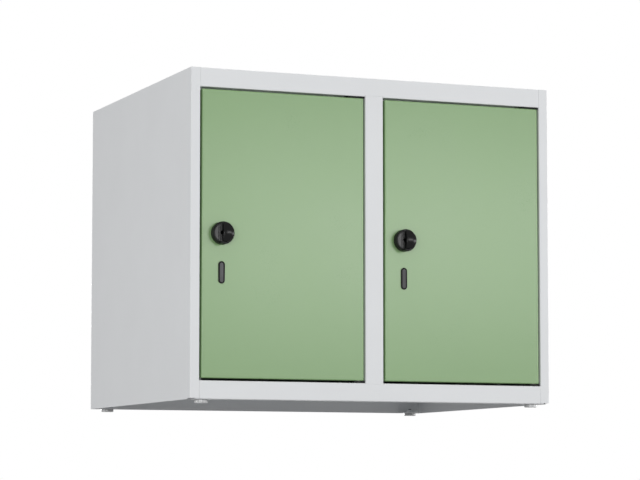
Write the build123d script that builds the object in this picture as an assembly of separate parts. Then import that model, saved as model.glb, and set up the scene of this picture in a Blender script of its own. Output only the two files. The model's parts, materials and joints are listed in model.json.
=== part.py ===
from build123d import *
import os

# Two-compartment steel locker cabinet: a folded sheet carcass on four feet, two flush doors that
# swing on pivot pins, and a rotary padlock latch with a cam on each door.
# Frame: +Z up, +X to the right and the doors facing -Y. The origin is the middle of the footprint,
# on the surface under the feet. All lengths are in millimetres.

# ---- driving dimensions: carcass ----
body_width = 600.0
body_depth = 500.0
body_height = 500.0
foot_height = 5.0
sheet = 1.0
bend = 1.5
inner_bend = 0.5
seam = 0.2
overrun = 1.0
lip_clearance = 20.0
back_inset = 0.6
back_below_top = 0.4
butt_gap = 0.25
stile_width = 15.0
mullion_width = 30.0
top_rail_height = 29.0
bottom_rail_height = 28.0
return_depth = 21.0
stop_lip = 10.0
top_stop_lip = 8.0
rear_flange = 15.0
bottom_return = 12.0
stile_notch_height = 1.6
stile_notch_depth = 12.0

# ---- driving dimensions: base plates, feet and their screws ----
plate_width = 30.0
plate_reach = 31.0
plate_flange = 14.0
plate_corner = 6.0
plate_thickness = 1.5
foot_from_side = 24.0
foot_from_end = 18.0
foot_radius = 10.0
foot_edge = 1.2
foot_screw_radius = 2.5
foot_screw_head_radius = 4.5
foot_screw_head_height = 1.6
foot_screw_head_level = 2.0
foot_screw_play = 0.1
foot_screw_past_nut = 1.5
foot_screw_chamfer = 0.5
foot_hole_play = 0.2
foot_nut_flats = 8.0
foot_nut_height = 4.0

# ---- driving dimensions: holes for fixing to a wall ----
wall_hole_radius = 4.5
wall_hole_pitch_x = 460.0
wall_hole_pitch_z = 360.0
wall_hole_low = 75.0

# ---- driving dimensions: doors ----
door_gap = 3.0
door_gap_bottom = 3.6
door_depth = 18.0
door_lip = 12.0
mitre_gap = 0.8
stiffener_width = 40.0
stiffener_depth = 14.0
stiffener_flange = 10.0
stiffener_offset = 20.0
lip_hole_shift = 0.5

# ---- driving dimensions: hinges ----
pin_from_edge = 8.0
pin_behind_front = 6.0
pin_radius = 3.0
pin_play = 0.05
pin_reach = 7.0
pin_head_radius = 4.6
pin_head_height = 2.5
pin_head_chamfer = 0.6
pin_tip_chamfer = 0.8
upper_block_length = 30.0
lower_block_length = 19.0
block_depth = 15.0
block_boss_radius = 5.0
block_boss_height = 8.0
block_play = 0.4
block_behind_front = 1.2
bracket_thickness = 1.5
bracket_length = 24.0
bracket_drop = 22.0
bracket_depth = 14.0
bracket_play = 0.2

# ---- driving dimensions: latch ----
latch_from_opening = 34.5
latch_above_base = 249.5
boss_radius = 17.2
boss_height = 10.6
boss_edge = 1.0
well_radius = 14.5
well_floor = 5.5
neck_radius = 10.9
neck_depth = 14.0
neck_chamfer = 0.8
neck_hole_play = 0.2
ring_nut_flats = 27.0
ring_nut_height = 4.0
knob_radius = 14.1
knob_base = 5.6
knob_height = 20.0
knob_shoulder = 16.5
dome_rim_share = 0.25
dome_crown_share = 0.55
shoulder_rise = 5.0
crown_radius = 32.0
crown_offset = 3.5
crest_offset = 3.6
crest_lean = 0.7
crest_edge = 0.9
scoop_floor = 9.8
scoop_radius = 5.5
eye_radius = 3.1
eye_height = 13.6
eye_lug_half_width = 6.0
eye_lug_height = 18.4
eye_lug_corner = 4.0
eye_lug_inset = 0.05
shaft_radius = 5.0
shaft_play = 0.05
square_side = 7.0
square_play = 0.1
square_short = 0.2
cam_depth = 24.0
cam_thickness = 3.0
cam_hub_radius = 9.0
cam_reach = 33.0
cam_tip_width = 13.0
cam_tip_corner = 2.5
cam_lead_in = 1.75
cam_lead_in_length = 4.0
cam_washer_radius = 8.0
cam_washer_height = 1.2
cam_screw_radius = 2.5
cam_screw_length = 12.0
cam_screw_head_flats = 8.0
cam_screw_head_height = 3.0
cam_screw_short = 0.5

# ---- driving dimensions: padlock buffer on the door, and rubber stops on the frame ----
pad_below_latch = 59.0
pad_width = 10.3
pad_length = 34.0
pad_height = 1.6
pad_edge = 0.7
pad_stem_width = 7.8
pad_stem_length = 31.5
pad_stem_depth = 5.0
pad_bead = 0.4
pad_border = 2.3
pad_pocket_depth = 1.2
pad_strip_height = 0.9
pad_hole_play = 0.2
stop_head_radius = 4.0
stop_head_height = 2.6
stop_stem_radius = 1.9
stop_bulb_radius = 2.6
stop_bulb_height = 2.0
stop_from_end = 60.0
stop_rim_share = 0.5
stop_tip_share = 0.6
stop_past_middle = 0.8
stop_hole_play = 0.1

# ---- levels and planes worked out from the above ----
front = -(body_depth - knob_height) / 2
back = front + body_depth
base = foot_height
top = base + body_height
half_width = body_width / 2
floor_level = base + bottom_rail_height
rail_level = top - top_rail_height
opening_edge = half_width - stile_width
mullion_edge = mullion_width / 2
latch_level = base + latch_above_base
openings = {"left": (-opening_edge, -mullion_edge), "right": (mullion_edge, opening_edge)}
door_bottom = floor_level + door_gap_bottom
door_top = rail_level - door_gap
hinge_y = front + pin_behind_front
foot_x = half_width - foot_from_side
foot_rows = {"front": front + foot_from_end, "rear": back - foot_from_end}


def block_between(x_low, x_high, y_low, y_high, z_low, z_high):
    """A box given by its lowest and highest corner."""
    size = Box(x_high - x_low, y_high - y_low, z_high - z_low, align=(Align.MIN, Align.MIN, Align.MIN))
    return Pos(x_low, y_low, z_low) * size


def folded_sheet(points, metal_side, thickness=sheet):
    """The section of a folded sheet: the line of its outer face with bends, thickened on one side."""
    face_line = FilletPolyline(*points, radius=max(bend, thickness + inner_bend))
    return make_face(offset(face_line, amount=thickness, side=metal_side, closed=True))


def upright(points, metal_side, z_low, z_high):
    """A profile drawn in plan and drawn out upwards."""
    return Pos(0, 0, z_low) * extrude(folded_sheet(points, metal_side), amount=z_high - z_low)


def crosswise(points, metal_side, half_length):
    """A profile drawn in side view and drawn out along X, both ways from the middle."""
    return extrude(Plane.YZ * folded_sheet(points, metal_side), amount=half_length, both=True)


def dome_line(radius, shoulder, height):
    """Half the outline of a moulded dome: upright at its rim and level at its middle."""
    rim_pull = (radius, height - dome_rim_share * (height - shoulder))
    crown_pull = (dome_crown_share * radius, height)
    return Bezier((radius, shoulder), rim_pull, crown_pull, (0, height))


def hinge_x(side):
    return openings[side][1] - door_gap - pin_from_edge


def latch_x(side):
    return openings[side][0] + latch_from_opening


def on_door_face(side, level):
    """A plane on the door's face at the latch's line: local Z points out of the door, local Y up."""
    return Plane(origin=(latch_x(side), front, level), x_dir=(1, 0, 0), z_dir=(0, -1, 0))


# ---- carcass ----

def side_panel_left():
    points = [
        (-opening_edge + stop_lip, front + return_depth),
        (-opening_edge, front + return_depth),
        (-opening_edge, front),
        (-half_width, front),
        (-half_width, back - sheet),
        (-half_width + rear_flange, back - sheet),
    ]
    panel = upright(points, Side.RIGHT, base, top)
    inner = -opening_edge - sheet - seam
    behind_stile = front + bend
    behind_lip = front + return_depth + 2 * sheet
    lip_end = -opening_edge + stop_lip + sheet
    bend_start = -opening_edge - bend
    for low, high in ((base, floor_level + seam), (rail_level - seam, top)):
        panel -= block_between(inner, lip_end, behind_stile, behind_lip, low, high)
        panel -= block_between(bend_start, lip_end, front - overrun, behind_stile, low, high)
        panel += block_between(bend_start, -opening_edge, front, front + sheet, low, high)
    notch_top = base + stile_notch_height
    notch_back = front + stile_notch_depth
    panel -= block_between(
        -half_width - overrun, -opening_edge + overrun, front - overrun, notch_back, base - overrun, notch_top
    )
    flange_end = -half_width + rear_flange + overrun
    panel -= block_between(
        -half_width + sheet, flange_end, back - 3 * sheet, back, top - 2 * sheet, top + overrun
    )
    for level in stop_levels():
        panel -= stop_hole(stop_x("left"), level)
    return panel


def top_panel():
    points = [
        (front + return_depth, rail_level - top_stop_lip),
        (front + return_depth, rail_level),
        (front, rail_level),
        (front, top),
        (back - sheet, top),
        (back - sheet, top - rear_flange),
    ]
    inside = half_width - sheet
    panel = crosswise(points, Side.RIGHT, inside)
    rail_end = opening_edge - butt_gap
    past_lip = front + return_depth + 2 * sheet
    for hand in (-1, 1):
        low, high = sorted((hand * rail_end, hand * (inside + overrun)))
        panel -= block_between(
            low, high, front - overrun, front + bend, rail_level - lip_clearance, top + overrun
        )
        panel -= block_between(low, high, front, past_lip, rail_level - lip_clearance, top - 2 * sheet)
        low, high = sorted((hand * (half_width - rear_flange - seam), hand * (inside + overrun)))
        panel -= block_between(low, high, back - 2 * sheet, back, top - rear_flange - overrun, top - sheet)
    lip_gap = stop_lip + seam
    lip_bend = front + return_depth - bend - seam
    reach = mullion_edge + lip_gap
    panel -= block_between(-reach, reach, lip_bend, past_lip, rail_level - lip_clearance, rail_level)
    for hand in (-1, 1):
        low, high = sorted((hand * (opening_edge - lip_gap), hand * (opening_edge + overrun)))
        panel -= block_between(low, high, lip_bend, past_lip, rail_level - lip_clearance, rail_level)
    panel -= mullion_relief(rail_level - overrun, rail_level + bend)
    for side in openings:
        panel -= Pos(hinge_x(side), hinge_y, rail_level) * Cylinder(block_boss_radius, 6 * sheet)
    return panel


def mullion_relief(low, high):
    """The notch in a rail's bend that lets the mullion's face run up to the flat of the rail."""
    reach = mullion_edge + seam / 2
    return block_between(-reach, reach, front - overrun, front + bend + seam / 2, low, high)


def floor_panel():
    points = [
        (front + bottom_return, base),
        (front, base),
        (front, floor_level),
        (back - sheet, floor_level),
        (back - sheet, floor_level - rear_flange),
    ]
    inside = half_width - sheet
    panel = crosswise(points, Side.RIGHT, inside)
    rail_end = opening_edge - butt_gap
    past_lip = front + return_depth + sheet + seam
    plate_end = foot_x - plate_width / 2 - overrun
    for hand in (-1, 1):
        low, high = sorted((hand * rail_end, hand * (inside + overrun)))
        panel -= block_between(low, high, front - overrun, past_lip, base - overrun, floor_level + overrun)
        low, high = sorted((hand * (half_width - rear_flange - seam), hand * (inside + overrun)))
        panel -= block_between(low, high, back - 2 * sheet - seam, back, base, floor_level + overrun)
        low, high = sorted((hand * plate_end, hand * (inside + overrun)))
        panel -= block_between(
            low, high, front + bend, front + bottom_return + overrun, base - overrun, base + 2 * sheet
        )
        panel -= block_between(
            low, high, front + sheet, front + bend + overrun, base - overrun, base + bend
        )
    panel -= mullion_relief(floor_level - bend, floor_level + overrun)
    for side in openings:
        panel -= Pos(hinge_x(side), hinge_y, floor_level) * Cylinder(block_boss_radius, 6 * sheet)
    return panel


def back_panel():
    edge = half_width - back_inset
    panel = block_between(-edge, edge, back - sheet, back, base, top - back_below_top)
    for hand in (-1, 1):
        for row in (0, 1):
            level = base + wall_hole_low + row * wall_hole_pitch_z
            hole = Rot(90, 0, 0) * Cylinder(wall_hole_radius, 6 * sheet)
            panel -= Pos(hand * wall_hole_pitch_x / 2, back, level) * hole
    return panel


def mullion():
    lip_face = front + return_depth
    points = [
        (-mullion_edge - stop_lip, lip_face),
        (-mullion_edge, lip_face),
        (-mullion_edge, front),
        (mullion_edge, front),
        (mullion_edge, lip_face),
        (mullion_edge + stop_lip, lip_face),
    ]
    post = upright(points, Side.LEFT, floor_level - bend + seam / 2, rail_level + bend - seam / 2)
    reach = mullion_edge + stop_lip + overrun
    post -= block_between(-reach, reach, front + sheet, front + 30, floor_level - 3, floor_level)
    post -= block_between(-reach, reach, front + sheet, front + 30, rail_level, rail_level + 3)
    for level in stop_levels():
        post -= stop_hole(stop_x("right"), level)
    return post


def centre_partition():
    face = front + return_depth + sheet
    half = sheet / 2
    points = [
        (mullion_edge + stop_lip, face),
        (-half, face),
        (-half, back - sheet),
        (-half + rear_flange, back - sheet),
    ]
    wall = upright(points, Side.RIGHT, floor_level, top - sheet)
    wall -= block_between(
        -half - overrun, rear_flange + overrun, back - 3 * sheet, back, top - rear_flange - overrun, top
    )
    wall -= block_between(
        -half - overrun, mullion_edge + stop_lip + overrun, face - overrun, face + 2 * sheet, rail_level, top
    )
    for level in stop_levels():
        wall -= stop_hole(stop_x("right"), level)
    return wall


def base_plate(hand, row):
    """A bracket under the cabinet: its flange is welded to the wall and its tongue carries one foot."""
    points = [(0, plate_flange), (0, 0), (plate_reach, 0)]
    section = Plane.YZ * folded_sheet(points, Side.LEFT, plate_thickness)
    plate = extrude(section, amount=plate_width / 2, both=True)
    plate = fillet(plate.edges().filter_by(Axis.Z).group_by(Axis.Y)[-1], radius=plate_corner)
    wall_y = front + sheet
    if row == "rear":
        plate = mirror(plate, about=Plane.XZ)
        wall_y = back - 2 * sheet
    plate = Pos(hand * foot_x, wall_y, base) * plate
    hole = Cylinder(foot_screw_radius + foot_hole_play, 6 * plate_thickness)
    return plate - Pos(hand * foot_x, foot_rows[row], base) * hole


# ---- feet ----

def foot():
    """A moulded disc, closed below, with room inside it for the head of its screw."""
    up = (Align.CENTER, Align.CENTER, Align.MIN)
    disc = Cylinder(foot_radius, foot_height, align=up)
    disc = fillet(disc.edges().group_by(Axis.Z)[0], radius=foot_edge)
    head_room = foot_screw_head_height + 2 * foot_screw_play
    pocket = Cylinder(foot_screw_head_radius + foot_screw_play, head_room, align=up)
    disc -= Pos(0, 0, foot_screw_head_level - foot_screw_play) * pocket
    disc -= Pos(0, 0, foot_screw_head_level) * Cylinder(
        foot_screw_radius + foot_screw_play, foot_height, align=up
    )
    return disc


def foot_screw():
    """A screw whose round head is moulded into the foot; its shank comes up through the plate."""
    up = (Align.CENTER, Align.CENTER, Align.MIN)
    head = Cylinder(foot_screw_head_radius, foot_screw_head_height, align=up)
    shank_top = foot_height + plate_thickness + foot_nut_height + foot_screw_past_nut
    shank = Cylinder(foot_screw_radius, shank_top - foot_screw_head_level, align=up)
    shank = chamfer(shank.edges().group_by(Axis.Z)[-1], length=foot_screw_chamfer)
    return Pos(0, 0, foot_screw_head_level) * (head + shank)


def hexagon(flats, height):
    """A hexagonal prism with its corners turned down."""
    body = extrude(RegularPolygon(flats / 2, 6, major_radius=False), amount=height)
    return body & Pos(0, 0, height / 2) * Cylinder(1.1 * flats / 2, height)


def hex_nut(flats, height, bore):
    return hexagon(flats, height) - Pos(0, 0, height / 2) * Cylinder(bore, 2 * height)


# ---- rubber stops ----

def stop_levels():
    return (floor_level + stop_from_end, rail_level - stop_from_end)


def stop_x(side):
    return openings[side][0] + stop_lip / 2 + stop_past_middle


def stop_hole(x, level):
    drill = Rot(90, 0, 0) * Cylinder(stop_stem_radius + stop_hole_play, 8 * sheet)
    return Pos(x, front + return_depth + sheet, level) * drill


def rubber_stop(sheets):
    """One push-in stop: a domed head in front of the lip, a stem through it and a bulb behind it."""
    behind = -sheets * sheet
    rim = stop_head_height * stop_rim_share
    side_line = Polyline(
        (0, stop_head_height),
        (0, behind - stop_bulb_height),
        (stop_bulb_radius * stop_tip_share, behind - stop_bulb_height),
        (stop_bulb_radius, behind),
        (stop_stem_radius, behind),
        (stop_stem_radius, 0),
        (stop_head_radius, 0),
        (stop_head_radius, rim),
    )
    dome = dome_line(stop_head_radius, rim, stop_head_height)
    return revolve(Plane.XZ * make_face([side_line, dome]), axis=Axis.Z)


def rubber_stops(side):
    sheets = 1 if side == "left" else 2
    lip_plane_y = front + return_depth
    stops = []
    for level in stop_levels():
        seat = Plane(origin=(stop_x(side), lip_plane_y, level), x_dir=(1, 0, 0), z_dir=(0, -1, 0))
        stops.append(seat.location * rubber_stop(sheets))
    return stops


# ---- hinges ----

def hinge_block(side, length, thickness):
    """A bearing block lying in the door gap: a flat plate with a boss, bored for the pivot pin.

    It is drawn for the upper hinge: the plate hangs below Z = 0 and the boss stands above it.
    """
    right = openings[side][1] - block_play
    near = front + block_behind_front
    plate = block_between(right - length, right, near, near + block_depth, -thickness, 0)
    plate = fillet(plate.edges().filter_by(Axis.Z), radius=1.5)
    axis = Pos(hinge_x(side), hinge_y, 0)
    boss = axis * Pos(0, 0, block_boss_height / 2) * Cylinder(block_boss_radius, block_boss_height)
    bore = axis * Cylinder(pin_radius + pin_play, 4 * block_boss_height)
    return plate + boss - bore


def upper_hinge_block(side):
    return Pos(0, 0, rail_level) * hinge_block(side, upper_block_length, door_gap - block_play)


def lower_hinge_block(side):
    block = hinge_block(side, lower_block_length, door_gap_bottom - block_play)
    return Pos(0, 0, floor_level) * mirror(block, about=Plane.XY)


def pivot_pin(inside_length, reach, shoulder):
    """A headed pin that points up: Z = 0 is the outer face of the door's fold."""
    up = (Align.CENTER, Align.CENTER, Align.MIN)
    low = -inside_length
    head = Pos(0, 0, low - pin_head_height) * Cylinder(pin_head_radius, pin_head_height, align=up)
    head = chamfer(head.edges().group_by(Axis.Z)[0], length=pin_head_chamfer)
    shank = Pos(0, 0, low) * Cylinder(pin_radius, inside_length + reach, align=up)
    shank = chamfer(shank.edges().group_by(Axis.Z)[-1], length=pin_tip_chamfer)
    pin = head + shank
    if shoulder > 0:
        pin += Cylinder(pin_head_radius, shoulder, align=up)
    return pin


def upper_pin(side):
    inside_length = sheet + bracket_thickness
    reach = door_gap + pin_reach
    return Pos(hinge_x(side), hinge_y, door_top) * pivot_pin(inside_length, reach, 0)


def lower_pin(side):
    inside_length = sheet + bracket_thickness
    reach = door_gap_bottom + pin_reach
    pin = mirror(pivot_pin(inside_length, reach, block_play - pin_play), about=Plane.XY)
    return Pos(hinge_x(side), hinge_y, door_bottom) * pin


def pin_bracket(side):
    """An angle plate inside the door's corner, drawn for the upper hinge: Z = 0 is under the fold."""
    right = openings[side][1] - door_gap - sheet
    points = [(right - bracket_length, 0), (right, 0), (right, -bracket_drop)]
    line = FilletPolyline(*points, radius=bracket_thickness + inner_bend)
    section = make_face(offset(line, amount=bracket_thickness, side=Side.RIGHT, closed=True))
    near = front + sheet + bracket_play
    angle = Pos(0, near, 0) * extrude(Plane.XZ * section, amount=-bracket_depth)
    return angle - Pos(hinge_x(side), hinge_y, 0) * Cylinder(pin_radius, 6 * bracket_thickness)


def upper_bracket(side):
    return Pos(0, 0, door_top - sheet) * pin_bracket(side)


def lower_bracket(side):
    return Pos(0, 0, door_bottom + sheet) * mirror(pin_bracket(side), about=Plane.XY)


# ---- doors ----

def door_edges(side):
    low, high = openings[side]
    return low + door_gap, high - door_gap


def door_hollow(side, inset, near, far):
    """A block inside the door's outline: set in from its edges, and from near to far behind its face."""
    low, high = door_edges(side)
    return block_between(
        low + inset, high - inset, front + near, front + far, door_bottom + inset, door_top - inset
    )


def door_skin(side):
    """The door's one folded sheet: a tray with its lips turned in and mitred at the corners."""
    low, high = door_edges(side)
    outer = block_between(low, high, front, front + door_depth, door_bottom, door_top)
    outer = fillet(outer.edges().filter_by(Axis.Y) + outer.faces().sort_by(Axis.Y)[0].edges(), radius=bend)
    skin = outer - door_hollow(side, sheet, sheet, door_depth - sheet)
    skin -= door_hollow(side, door_lip, 2 * sheet, 2 * door_depth)
    for x, lean in ((low, 1), (high, -1)):
        for z, rise in ((door_bottom, 1), (door_top, -1)):
            middle = (sheet + door_lip) / 2 + lip_hole_shift
            notch = Rot(0, -45 * lean * rise, 0) * Box(1.42 * (door_lip - sheet), 2 * sheet, mitre_gap)
            skin -= Pos(x + lean * middle, front + door_depth, z + rise * middle) * notch
    skin -= on_door_face(side, latch_level).location * Cylinder(neck_radius + neck_hole_play, 6 * sheet)
    slot_outline = SlotOverall(pad_stem_length + pad_hole_play, pad_stem_width + pad_hole_play, rotation=90)
    slot = extrude(slot_outline, amount=2 * sheet, both=True)
    skin -= on_door_face(side, latch_level - pad_below_latch).location * slot
    for level in (door_bottom, door_top):
        skin -= Pos(hinge_x(side), hinge_y, level) * Cylinder(pin_radius, 4 * sheet)
    return skin


def door_stiffener(side):
    """A hat section up the middle of the door, spot welded to the inside of its face."""
    low, high = door_edges(side)
    middle = (low + high) / 2 + stiffener_offset
    half = stiffener_width / 2
    near = front + 2 * sheet
    far = near + stiffener_depth - sheet
    points = [
        (middle - half - stiffener_flange, near),
        (middle - half, near),
        (middle - half, far),
        (middle + half, far),
        (middle + half, near),
        (middle + half + stiffener_flange, near),
    ]
    return upright(points, Side.RIGHT, door_bottom + 2 * sheet, door_top - 2 * sheet)


# ---- latch: drawn with its axis on Z, the door's face at Z = 0 and the outside above ----

def latch_housing():
    """The fixed boss: a well for the knob, a threaded neck, and the lug whose eye takes the shackle."""
    boss = Pos(0, 0, boss_height / 2) * Cylinder(boss_radius, boss_height)
    boss = fillet(boss.edges().group_by(Axis.Z)[-1], radius=boss_edge)
    neck = Cylinder(neck_radius, neck_depth, align=(Align.CENTER, Align.CENTER, Align.MAX))
    neck = chamfer(neck.edges().group_by(Axis.Z)[0], length=neck_chamfer)
    well = Pos(0, 0, well_floor) * Cylinder(
        well_radius, eye_lug_height, align=(Align.CENTER, Align.CENTER, Align.MIN)
    )
    housing = boss + eye_lug() + neck - well
    housing -= Cylinder(shaft_radius + shaft_play, 4 * neck_depth)
    eye = Pos(0, -knob_radius, eye_height) * Rot(90, 0, 0) * Cylinder(eye_radius, boss_radius)
    return housing - eye


def eye_lug():
    """An upright ear at the bottom of the boss, curved with its rim and round at its top corners."""
    root = boss_height - 2 * boss_edge
    shoulders = FilletPolyline(
        (-eye_lug_half_width, root),
        (-eye_lug_half_width, eye_lug_height),
        (eye_lug_half_width, eye_lug_height),
        (eye_lug_half_width, root),
        radius=eye_lug_corner,
    )
    outline = make_face([shoulders, Line(shoulders @ 1, shoulders @ 0)])
    ear = extrude(Plane.XZ * outline, amount=boss_radius + overrun)
    return ear & Cylinder(boss_radius - eye_lug_inset, 4 * eye_lug_height)


def latch_knob():
    """The turning knob: a domed disc with a finger scoop, the shackle's cross hole, and its shaft."""
    blank_top = knob_shoulder + shoulder_rise
    foot_line = Polyline(
        (0, blank_top), (0, knob_base), (knob_radius, knob_base), (knob_radius, knob_shoulder)
    )
    shoulder = dome_line(knob_radius, knob_shoulder, blank_top)
    blank = revolve(Plane.XZ * make_face([foot_line, shoulder]), axis=Axis.Z)
    crown = Pos(crown_offset, 0, knob_height - crown_radius) * Rot(90, 0, 0) * Sphere(crown_radius)
    disc = (blank & crown) - finger_scoop()
    crest = disc.edges().filter_by_position(Axis.X, -crest_offset - overrun, -crest_offset + overrun)
    disc = fillet(crest.sort_by(Axis.Z)[-1], radius=crest_edge)
    disc -= Pos(0, 0, eye_height) * Rot(0, 90, 0) * Cylinder(eye_radius, 4 * knob_radius)
    disc += Pos(0, 0, knob_base) * Cylinder(
        shaft_radius, knob_base + cam_depth, align=(Align.CENTER, Align.CENTER, Align.MAX)
    )
    half_square = square_side / 2
    square_end = -cam_depth - cam_thickness + square_short
    square = block_between(
        -half_square, half_square, -half_square, half_square, square_end, -cam_depth + overrun
    )
    drill = Pos(0, 0, square_end - overrun) * Cylinder(
        cam_screw_radius, cam_screw_length + overrun, align=(Align.CENTER, Align.CENTER, Align.MIN)
    )
    return disc + square - drill


def finger_scoop():
    """What is cut from the knob's left: a flat floor that sweeps up into a steep flank at the crest."""
    outside = -knob_radius - overrun
    above = knob_height + overrun
    start = (outside, scoop_floor)
    end = (crest_lean - crest_offset, above)
    sweep = FilletPolyline(start, (-crest_offset, scoop_floor), end, radius=scoop_radius)
    rest = Polyline(end, (outside, above), start)
    return extrude(Plane.XZ * make_face([sweep, rest]), amount=2 * knob_radius, both=True)


def latch_cam():
    """The flat cam on the shaft's square end, pointing down, with a lead-in bevel at its tip."""
    hub = Circle(cam_hub_radius)
    tip = RectangleRounded(cam_tip_width, cam_tip_width, cam_tip_corner)
    outline = make_hull((hub + Pos(0, -cam_reach + cam_tip_width / 2) * tip).edges())
    plate = Pos(0, 0, -cam_depth - cam_thickness) * extrude(outline, amount=cam_thickness)
    lead_in_start = -cam_reach + cam_lead_in_length
    wedge = Plane.YZ * make_face(
        Polyline(
            (-cam_reach - overrun, -cam_depth + overrun),
            (lead_in_start, -cam_depth + overrun),
            (lead_in_start, -cam_depth),
            (-cam_reach - overrun, -cam_depth - cam_lead_in),
            close=True,
        )
    )
    plate -= extrude(wedge, amount=cam_tip_width, both=True)
    side = square_side + square_play
    return plate - Pos(0, 0, -cam_depth - cam_thickness / 2) * Box(side, side, 4 * cam_thickness)


def cam_washer():
    low = -cam_depth - cam_thickness - cam_washer_height
    ring = Cylinder(
        cam_washer_radius, cam_washer_height) - Cylinder(cam_screw_radius, 4 * cam_washer_height
    )
    return Pos(0, 0, low + cam_washer_height / 2) * ring


def cam_screw():
    """A hexagon screw: its head bears on the washer and its shank runs up into the shaft."""
    under_head = -cam_depth - cam_thickness - cam_washer_height
    head = hexagon(cam_screw_head_flats, cam_screw_head_height)
    head = Pos(0, 0, under_head - cam_screw_head_height) * head
    shank_length = cam_washer_height + cam_screw_length - cam_screw_short
    shank = Pos(0, 0, under_head) * Cylinder(
        cam_screw_radius, shank_length, align=(Align.CENTER, Align.CENTER, Align.MIN)
    )
    return head + shank


def ring_nut():
    nut = hex_nut(ring_nut_flats, ring_nut_height, neck_radius)
    return Pos(0, 0, -sheet - ring_nut_height) * nut


# ---- padlock buffer ----

def pad_holder():
    """A long round-ended holder pushed into a slot in the door, with a snap bead behind the sheet."""
    flange = extrude(SlotOverall(pad_length, pad_width, rotation=90), amount=pad_height)
    flange = fillet(flange.edges().group_by(Axis.Z)[-1], radius=pad_edge)
    stem = extrude(SlotOverall(pad_stem_length, pad_stem_width, rotation=90), amount=-pad_stem_depth)
    bead_size = (pad_stem_length + 2 * pad_bead, pad_stem_width + 2 * pad_bead)
    bead = Pos(0, 0, -sheet - 2) * extrude(SlotOverall(*bead_size, rotation=90), amount=1.8)
    pocket = extrude(SlotOverall(*pad_face_size(0), rotation=90), amount=pad_height)
    return flange + stem + bead - Pos(0, 0, pad_height - pad_pocket_depth) * pocket


def pad_face_size(play):
    return pad_length - 2 * pad_border - play, pad_width - 2 * pad_border - play


def pad_strip():
    """The soft strip that fills the holder, a little below its rim."""
    strip = extrude(SlotOverall(*pad_face_size(0.1), rotation=90), amount=pad_strip_height)
    return Pos(0, 0, pad_height - pad_pocket_depth) * strip


# ---- the whole cabinet, node by node ----

def export_node(name, *solids):
    shape = solids[0] if len(solids) == 1 else Compound(children=list(solids))
    export_step(shape, f"parts/{name}.step")


def export_carcass():
    left_panel = side_panel_left()
    export_node("left_side_panel", left_panel)
    export_node("right_side_panel", mirror(left_panel, about=Plane.YZ))
    export_node("top_panel", top_panel())
    export_node("floor_panel", floor_panel())
    export_node("back_panel", back_panel())
    export_node("mullion", mullion())
    export_node("centre_partition", centre_partition())


def export_feet():
    screws = []
    nuts = []
    for hand, hand_name in ((-1, "left"), (1, "right")):
        for row, y in foot_rows.items():
            place = Pos(hand * foot_x, y, 0)
            export_node(f"{row}_{hand_name}_foot", place * foot())
            export_node(f"{row}_{hand_name}_base_plate", base_plate(hand, row))
            screws.append(place * foot_screw())
            nut = hex_nut(foot_nut_flats, foot_nut_height, foot_screw_radius)
            nuts.append(place * Pos(0, 0, base + plate_thickness) * nut)
    export_node("foot_screws", *screws)
    export_node("foot_nuts", *nuts)


def export_hinges(side):
    export_node(f"{side}_upper_hinge_block", upper_hinge_block(side))
    export_node(f"{side}_lower_hinge_block", lower_hinge_block(side))
    export_node(f"{side}_upper_pin", upper_pin(side))
    export_node(f"{side}_lower_pin", lower_pin(side))
    export_node(f"{side}_upper_pin_bracket", upper_bracket(side))
    export_node(f"{side}_lower_pin_bracket", lower_bracket(side))


def export_door(side):
    export_node(f"{side}_door_skin", door_skin(side))
    export_node(f"{side}_door_stiffener", door_stiffener(side))
    export_node(f"{side}_rubber_stops", *rubber_stops(side))


def export_latch(side):
    place = on_door_face(side, latch_level).location
    export_node(f"{side}_latch_housing", place * latch_housing())
    export_node(f"{side}_latch_ring_nut", place * ring_nut())
    export_node(f"{side}_latch_knob", place * latch_knob())
    export_node(f"{side}_latch_cam", place * latch_cam())
    export_node(f"{side}_cam_washer", place * cam_washer())
    export_node(f"{side}_cam_screw", place * cam_screw())


def export_pad(side):
    place = on_door_face(side, latch_level - pad_below_latch).location
    export_node(f"{side}_pad_holder", place * pad_holder())
    export_node(f"{side}_pad_strip", place * pad_strip())


os.makedirs("parts", exist_ok=True)
export_carcass()
export_feet()
for side_name in openings:
    export_hinges(side_name)
    export_door(side_name)
    export_latch(side_name)
    export_pad(side_name)
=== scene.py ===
import json
import math

import bmesh
import bpy
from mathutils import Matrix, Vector

# Finish and studio for a two-compartment steel locker cabinet. Everything is in metres, in the
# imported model's frame: +Z up, +X to the right, the doors facing -Y.

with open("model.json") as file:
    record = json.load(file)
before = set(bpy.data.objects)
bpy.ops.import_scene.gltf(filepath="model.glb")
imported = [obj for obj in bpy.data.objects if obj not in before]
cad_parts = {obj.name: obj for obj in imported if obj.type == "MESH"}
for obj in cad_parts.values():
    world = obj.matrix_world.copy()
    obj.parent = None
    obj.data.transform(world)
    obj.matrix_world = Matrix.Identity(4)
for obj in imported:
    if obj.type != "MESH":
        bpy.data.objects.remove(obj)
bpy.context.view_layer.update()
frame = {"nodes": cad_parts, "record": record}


# ---- camera: below the cabinet's base and to its left, looking slightly up ----

CAMERA_PLACE = (-1.5648, -3.8465, -0.1377)
CAMERA_YAW = math.radians(22.233)
CAMERA_PITCH = math.radians(4.973)
FOCAL_PIXELS = 2563.1
RISE_PIXELS = 32
PICTURE_WIDTH = 640
SENSOR_MILLIMETRES = 36.0
FARTHEST_SEEN = 50.0


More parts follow.
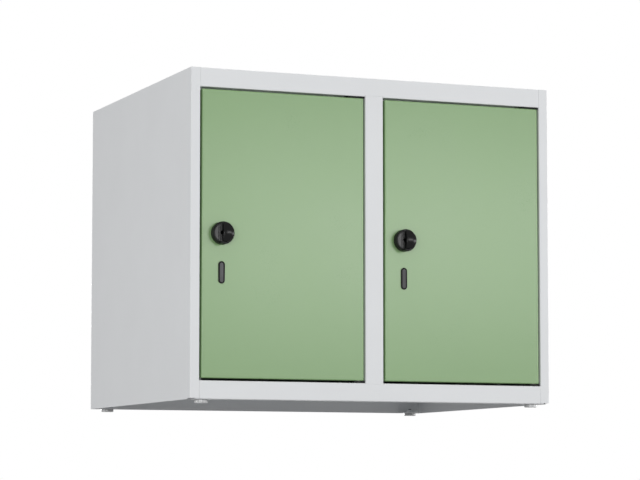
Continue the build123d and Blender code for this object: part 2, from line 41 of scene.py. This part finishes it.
def add_camera():
    data = bpy.data.cameras.new("camera")
    data.sensor_width = SENSOR_MILLIMETRES
    data.lens = FOCAL_PIXELS / PICTURE_WIDTH * SENSOR_MILLIMETRES
    data.shift_y = RISE_PIXELS / PICTURE_WIDTH
    data.clip_end = FARTHEST_SEEN
    camera = bpy.data.objects.new("camera", data)
    camera.location = CAMERA_PLACE
    camera.rotation_euler = (math.radians(90) + CAMERA_PITCH, 0, -CAMERA_YAW)
    bpy.context.scene.collection.objects.link(camera)
    bpy.context.scene.camera = camera


add_camera()
bpy.context.scene.view_settings.view_transform = "Standard"


# ---- shader maths ----

class Socket:
    """An output of a shader node. Arithmetic on it adds Math nodes."""

    def __init__(self, tree, output):
        self.tree = tree
        self.output = output

    def math(self, operation, *values):
        return add_node(self.tree, "ShaderNodeMath", {"operation": operation}, dict(enumerate(values)))

    def __add__(self, other):
        return self.math("ADD", self, other)

    def __radd__(self, other):
        return self.math("ADD", other, self)

    def __sub__(self, other):
        return self.math("SUBTRACT", self, other)

    def __rsub__(self, other):
        return self.math("SUBTRACT", other, self)

    def __mul__(self, other):
        return self.math("MULTIPLY", self, other)

    def __rmul__(self, other):
        return self.math("MULTIPLY", other, self)

    def clamped(self, low, high):
        """Runs from 0 at low to 1 at high, and no further."""
        settings = {"interpolation_type": "SMOOTHSTEP"}
        inputs = {"Value": self, "From Min": low, "From Max": high}
        return add_node(self.tree, "ShaderNodeMapRange", settings, inputs)


def add_node(tree, kind, settings, inputs, output=0):
    """Adds a node: its settings first, then its sockets' values or links. Returns one output."""
    node = tree.nodes.new(kind)
    for name, value in settings.items():
        setattr(node, name, value)
    for name, value in inputs.items():
        if isinstance(value, Socket):
            tree.links.new(value.output, node.inputs[name])
        else:
            node.inputs[name].default_value = value
    return Socket(tree, node.outputs[output])


# ---- colours ----

# Numbers of the Mix node's sockets when it mixes colours.
MIX_FACTOR = 0
MIX_LOW = 6
MIX_HIGH = 7
MIX_RESULT = 2


def blend_colours(tree, factor, low, high):
    """A colour between two others, by a factor from 0 to 1."""
    inputs = {MIX_FACTOR: factor, MIX_LOW: low, MIX_HIGH: high}
    return add_node(tree, "ShaderNodeMix", {"data_type": "RGBA"}, inputs, MIX_RESULT)


def linear(red, green, blue):
    """A colour written as display values from 0 to 255, as a shader wants it."""
    def channel(value):
        share = value / 255
        return share / 12.92 if share <= 0.04045 else ((share + 0.055) / 1.055) ** 2.4
    return channel(red), channel(green), channel(blue), 1.0


def grey(level):
    """A grey at a linear level from 0 to 1."""
    return level, level, level, 1.0


def shade(colour, factor):
    """The same colour, lighter or darker."""
    return tuple(channel * factor for channel in colour[:3]) + (1.0,)


def darker_and_lighter(colour, share):
    """Two forms of a colour, to each side of it by the same share."""
    return shade(colour, 1 - share), shade(colour, 1 + share)


# ---- finishes ----

MILLIMETRE = 0.001


class Finish:
    """A material under way: its Principled shader, and the patterns that its sockets take."""

    def __init__(self, name, **constants):
        """Each constant is a socket of the shader, with underscores for the spaces in its name."""
        self.material = bpy.data.materials.new(name)
        self.material.use_nodes = True
        self.tree = self.material.node_tree
        self.tree.nodes.clear()
        self.shader = self.tree.nodes.new("ShaderNodeBsdfPrincipled")
        output = self.tree.nodes.new("ShaderNodeOutputMaterial")
        self.tree.links.new(self.shader.outputs["BSDF"], output.inputs["Surface"])
        for name, value in constants.items():
            self.shader.inputs[name.replace("_", " ")].default_value = value
        self.place = add_node(self.tree, "ShaderNodeTexCoord", {}, {}, "Object")

    def noise(self, size, detail, stretch=(1, 1, 1)):
        """Noise from 0 to 1 whose patches are about size across, in metres."""
        place = add_node(self.tree, "ShaderNodeMapping", {}, {"Vector": self.place, "Scale": stretch})
        inputs = {"Vector": place, "Scale": 1 / size, "Detail": detail}
        return add_node(self.tree, "ShaderNodeTexNoise", {}, inputs)

    def blend(self, factor, low, high):
        return blend_colours(self.tree, factor, low, high)

    def feed(self, socket, value):
        self.tree.links.new(value.output, self.shader.inputs[socket])

    def relief(self, *layers):
        """Stacks bump layers, each given as its height pattern and its depth in metres."""
        normal = None
        for height, depth in layers:
            inputs = {"Height": height, "Distance": depth, "Strength": 1.0}
            if normal is not None:
                inputs["Normal"] = normal
            normal = add_node(self.tree, "ShaderNodeBump", {}, inputs)
        self.feed("Normal", normal)


def powder_coat(name, colour, roughness, specular):
    """Baked powder coat: a fine orange peel, faint clouding and a still finer grain."""
    finish = Finish(name, Metallic=0.0, Specular_IOR_Level=specular)
    clouds = finish.noise(size=90 * MILLIMETRE, detail=3.0)
    grain = finish.noise(size=1.1 * MILLIMETRE, detail=2.0)
    peel = finish.noise(size=1.6 * MILLIMETRE, detail=1.0)
    tone = (clouds * 0.6 + grain * 0.4).clamped(low=0.3, high=0.7)
    finish.feed("Base Color", finish.blend(tone, *darker_and_lighter(colour, share=0.015)))
    # Both patterns average about 0.5, so the coat's mean roughness is about the given one.
    finish.feed("Roughness", roughness - 0.05 + grain * 0.06 + clouds * 0.04)
    finish.relief((peel, 0.03 * MILLIMETRE), (grain, 0.01 * MILLIMETRE))
    return finish.material


def moulded_plastic(name, colour, roughness, specular):
    """Injection-moulded plastic: a fine spark-eroded grain with slightly shinier rubbed patches."""
    finish = Finish(name, Metallic=0.0, Specular_IOR_Level=specular)
    rubbed = finish.noise(size=12 * MILLIMETRE, detail=2.0)
    grain = finish.noise(size=0.45 * MILLIMETRE, detail=2.0)
    wear = rubbed.clamped(low=0.35, high=0.7)
    finish.feed("Base Color", finish.blend(wear, *darker_and_lighter(colour, share=0.08)))
    finish.feed("Roughness", roughness + grain * 0.08 - rubbed * 0.06)
    finish.relief((grain, 0.012 * MILLIMETRE))
    return finish.material


def soft_rubber(name, colour):
    """Matt rubber with a fine grain and a paler bloom in patches."""
    finish = Finish(name, Metallic=0.0, Specular_IOR_Level=0.3)
    bloom = finish.noise(size=20 * MILLIMETRE, detail=4.0).clamped(low=0.35, high=0.65)
    grain = finish.noise(size=0.7 * MILLIMETRE, detail=2.0)
    finish.feed("Base Color", finish.blend(bloom, colour, shade(colour, factor=1.25)))
    finish.feed("Roughness", 0.7 + grain * 0.15)
    finish.relief((grain, 0.03 * MILLIMETRE))
    return finish.material


def plated_steel(name, cool, warm):
    """Plated or blackened steel, turned or pressed, clouded between a cooler and a warmer tone."""
    finish = Finish(name, Metallic=1.0)
    bath = finish.noise(size=20 * MILLIMETRE, detail=3.0).clamped(low=0.35, high=0.65)
    marks = finish.noise(size=0.6 * MILLIMETRE, detail=3.0, stretch=(1, 6, 1))
    finish.feed("Base Color", finish.blend(bath, cool, warm))
    finish.feed("Roughness", 0.42 + marks * 0.16)
    finish.relief((marks, 0.008 * MILLIMETRE))
    return finish.material


def make_finishes():
    """One finish for each material slot of the record, and the finishes that only some nodes have."""
    return {
        "body_paint": powder_coat("body_paint", linear(232, 234, 236), roughness=0.48, specular=0.35),
        "door_paint": powder_coat("door_paint", linear(128, 163, 111), roughness=0.29, specular=0.55),
        "latch_black": moulded_plastic("latch_black", linear(12, 13, 13), roughness=0.36, specular=0.12),
        "knob_black": moulded_plastic("knob_black", linear(10, 11, 11), roughness=0.16, specular=0.17),
        "foot_plastic": moulded_plastic("foot_plastic", linear(196, 197, 198), roughness=0.2, specular=0.5),
        "hinge_plastic": moulded_plastic("hinge_plastic", linear(14, 15, 15), roughness=0.4, specular=0.1),
        "pad_grey": soft_rubber("pad_grey", linear(88, 88, 90)),
        "stop_rubber": soft_rubber("stop_rubber", linear(52, 52, 53)),
        "dark_steel": plated_steel("dark_steel", linear(74, 76, 78), linear(86, 84, 80)),
        "zinc_steel": plated_steel("zinc_steel", linear(140, 144, 150), linear(152, 149, 138)),
    }


# Nodes that have another finish than their slot's.
OWN_FINISH = {
    "left_latch_knob": "knob_black",
    "right_latch_knob": "knob_black",
    "foot_nuts": "body_paint",
    "foot_screws": "dark_steel",
}


def dress_nodes():
    """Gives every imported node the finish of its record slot, or its own."""
    finishes = make_finishes()
    for row in frame["record"]["subparts"]:
        name = row["node"]
        materials = frame["nodes"][name].data.materials
        materials.clear()
        materials.append(finishes[OWN_FINISH.get(name, row["material_slot"])])


dress_nodes()


# ---- studio ----

FLOOR_SIZE = 14.0
FLOOR_PAINT = grey(0.8)
NEAR_GLOW = grey(0.46)
FAR_GLOW = grey(0.86)
WHITE = grey(1.0)

# The world's strength on matt surfaces. Elsewhere it is 1.
AMBIENT = 0.225

# Distances from the middle of the floor between which its glow rises.
GLOW_RISES_FROM = 0.7
GLOW_RISES_TO = 2.4


def add_floor():
    """A pale floor under the feet. It is seen only from above, lets the light from below through, and
    makes up with its own glow what the lamps leave dark further out."""
    mesh = bpy.data.meshes.new("floor")
    shape = bmesh.new()
    bmesh.ops.create_grid(shape, x_segments=1, y_segments=1, size=FLOOR_SIZE / 2)
    shape.to_mesh(mesh)
    shape.free()
    floor = bpy.data.objects.new("floor", mesh)
    bpy.context.scene.collection.objects.link(floor)
    material = bpy.data.materials.new("floor")
    material.use_nodes = True
    tree = material.node_tree
    tree.nodes.clear()
    place = add_node(tree, "ShaderNodeTexCoord", {}, {}, "Object")
    from_middle = add_node(tree, "ShaderNodeVectorMath", {"operation": "LENGTH"}, {0: place}, "Value")
    far = from_middle.clamped(GLOW_RISES_FROM, GLOW_RISES_TO)
    lit = add_node(tree, "ShaderNodeBsdfDiffuse", {}, {"Color": FLOOR_PAINT})
    glow_colour = blend_colours(tree, far, NEAR_GLOW, FAR_GLOW)
    glow = add_node(tree, "ShaderNodeEmission", {}, {"Color": glow_colour, "Strength": 1.0})
    pale = add_node(tree, "ShaderNodeAddShader", {}, {0: lit, 1: glow})
    clear = add_node(tree, "ShaderNodeBsdfTransparent", {}, {})
    underside = add_node(tree, "ShaderNodeNewGeometry", {}, {}, "Backfacing")
    seen = add_node(tree, "ShaderNodeMixShader", {}, {0: underside, 1: pale, 2: clear})
    output = tree.nodes.new("ShaderNodeOutputMaterial")
    tree.links.new(seen.output, output.inputs["Surface"])
    mesh.materials.append(material)
    floor.visible_diffuse = False
    floor.visible_glossy = False
    floor.visible_transmission = False
    floor.visible_shadow = False


def add_world():
    """White to the eye, in reflections and through clear things, and a dimmer light on matt surfaces."""
    world = bpy.data.worlds.new("studio")
    bpy.context.scene.world = world
    world.use_nodes = True
    tree = world.node_tree
    tree.nodes.clear()
    path = tree.nodes.new("ShaderNodeLightPath")
    rays = ("Is Camera Ray", "Is Glossy Ray", "Is Transmission Ray")
    camera, glossy, through = (Socket(tree, path.outputs[name]) for name in rays)
    white = (camera + glossy + through).clamped(0.0, 1.0)
    strength = AMBIENT + white * (1.0 - AMBIENT)
    background = add_node(tree, "ShaderNodeBackground", {}, {"Color": WHITE, "Strength": strength})
    output = tree.nodes.new("ShaderNodeOutputWorld")
    tree.links.new(background.output, output.inputs["Surface"])


def add_lamp(name, place, target, size, power):
    """A soft rectangular lamp, given by its width and height, that looks at its target."""
    data = bpy.data.lights.new(name, "AREA")
    data.shape = "RECTANGLE"
    data.size, data.size_y = size
    data.energy = power
    lamp = bpy.data.objects.new(name, data)
    lamp.location = place
    aim = Vector(target) - Vector(place)
    lamp.rotation_euler = aim.to_track_quat("-Z", "Y").to_euler()
    lamp.visible_camera = False
    bpy.context.scene.collection.objects.link(lamp)


def add_lamps():
    """Three lamps in front, one at each other side and one above. The lower ones reach from just above
    the floor panel to about the level of the top panel, so that they leave the underside in shade and
    put no glare on the top."""
    middle = (0.0, -0.24, 0.25)
    left_face = (-0.3, 0.1, 0.25)
    right_face = (0.3, 0.0, 0.25)
    back_face = (0.0, 0.26, 0.25)
    top_face = (0.0, 0.0, 0.5)
    add_lamp("key_box", place=(1.1, -2.9, 0.56), target=middle, size=(1.3, 0.4), power=15)
    add_lamp("left_front_box", place=(-1.25, -2.45, 0.28), target=middle, size=(2.0, 0.46), power=24.5)
    add_lamp("right_front_box", place=(2.1, -1.95, 0.28), target=middle, size=(1.0, 0.46), power=13)
    add_lamp("left_box", place=(-2.4, 0.1, 0.27), target=left_face, size=(1.2, 0.44), power=12.6)
    add_lamp("right_box", place=(2.4, 0.1, 0.27), target=right_face, size=(1.2, 0.44), power=12)
    add_lamp("top_box", place=(0.1, 0.0, 2.4), target=top_face, size=(1.6, 1.6), power=18)
    add_lamp("back_box", place=(0.4, 2.5, 0.27), target=back_face, size=(1.4, 0.44), power=18)


add_floor()
add_world()
add_lamps()
